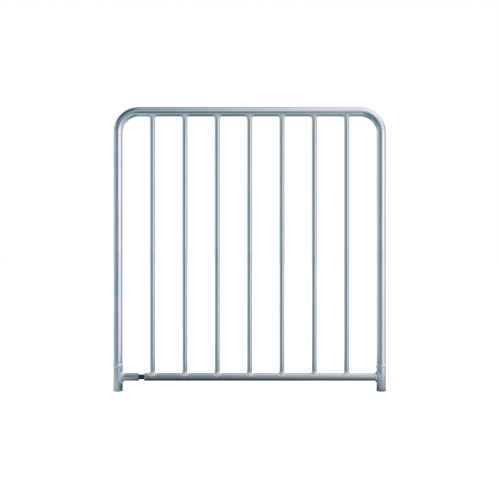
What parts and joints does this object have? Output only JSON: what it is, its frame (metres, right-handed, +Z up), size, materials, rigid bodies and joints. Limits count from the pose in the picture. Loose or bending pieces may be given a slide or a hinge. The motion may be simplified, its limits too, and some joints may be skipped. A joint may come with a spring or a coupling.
{
  "type": "crowd control barrier",
  "caption": "Flat crowd control barrier panel: a bent tube frame with open-ended legs, upright bars and a bottom rail with a moulded connector near its end.",
  "frame": {"origin": "on the ground, midway between the two legs and midway through the panel's thickness", "axes": "+X along the panel from the connector end to the welded end, +Y through the panel, +Z up"},
  "size_m": [0.9624, 0.036, 1],
  "materials": {
    "zinc_plated_tube": "bright bluish zinc over drawn steel tube",
    "zinc_plated_weld": "satin zinc over rippled weld beads",
    "black_plastic": "fine-grained moulded nylon"
  },
  "bodies": {
    "root": {"top_frame": "zinc_plated_tube", "left_leg_sleeve": "zinc_plated_tube", "right_leg_sleeve": "zinc_plated_tube", "left_leg_spigot": "zinc_plated_tube", "right_leg_spigot": "zinc_plated_tube", "bottom_rail": "zinc_plated_tube", "rail_stub": "zinc_plated_tube", "rail_connector": "black_plastic", "bar_1": "zinc_plated_tube", "bar_2": "zinc_plated_tube", "bar_3": "zinc_plated_tube", "bar_4": "zinc_plated_tube", "bar_5": "zinc_plated_tube", "bar_6": "zinc_plated_tube", "bar_7": "zinc_plated_tube", "left_leg_seam_weld": "zinc_plated_weld", "right_leg_seam_weld": "zinc_plated_weld", "rail_stub_weld": "zinc_plated_weld", "bottom_rail_weld": "zinc_plated_weld", "bar_top_welds": "zinc_plated_weld", "bar_bottom_welds": "zinc_plated_weld"}
  },
  "joints": []
}
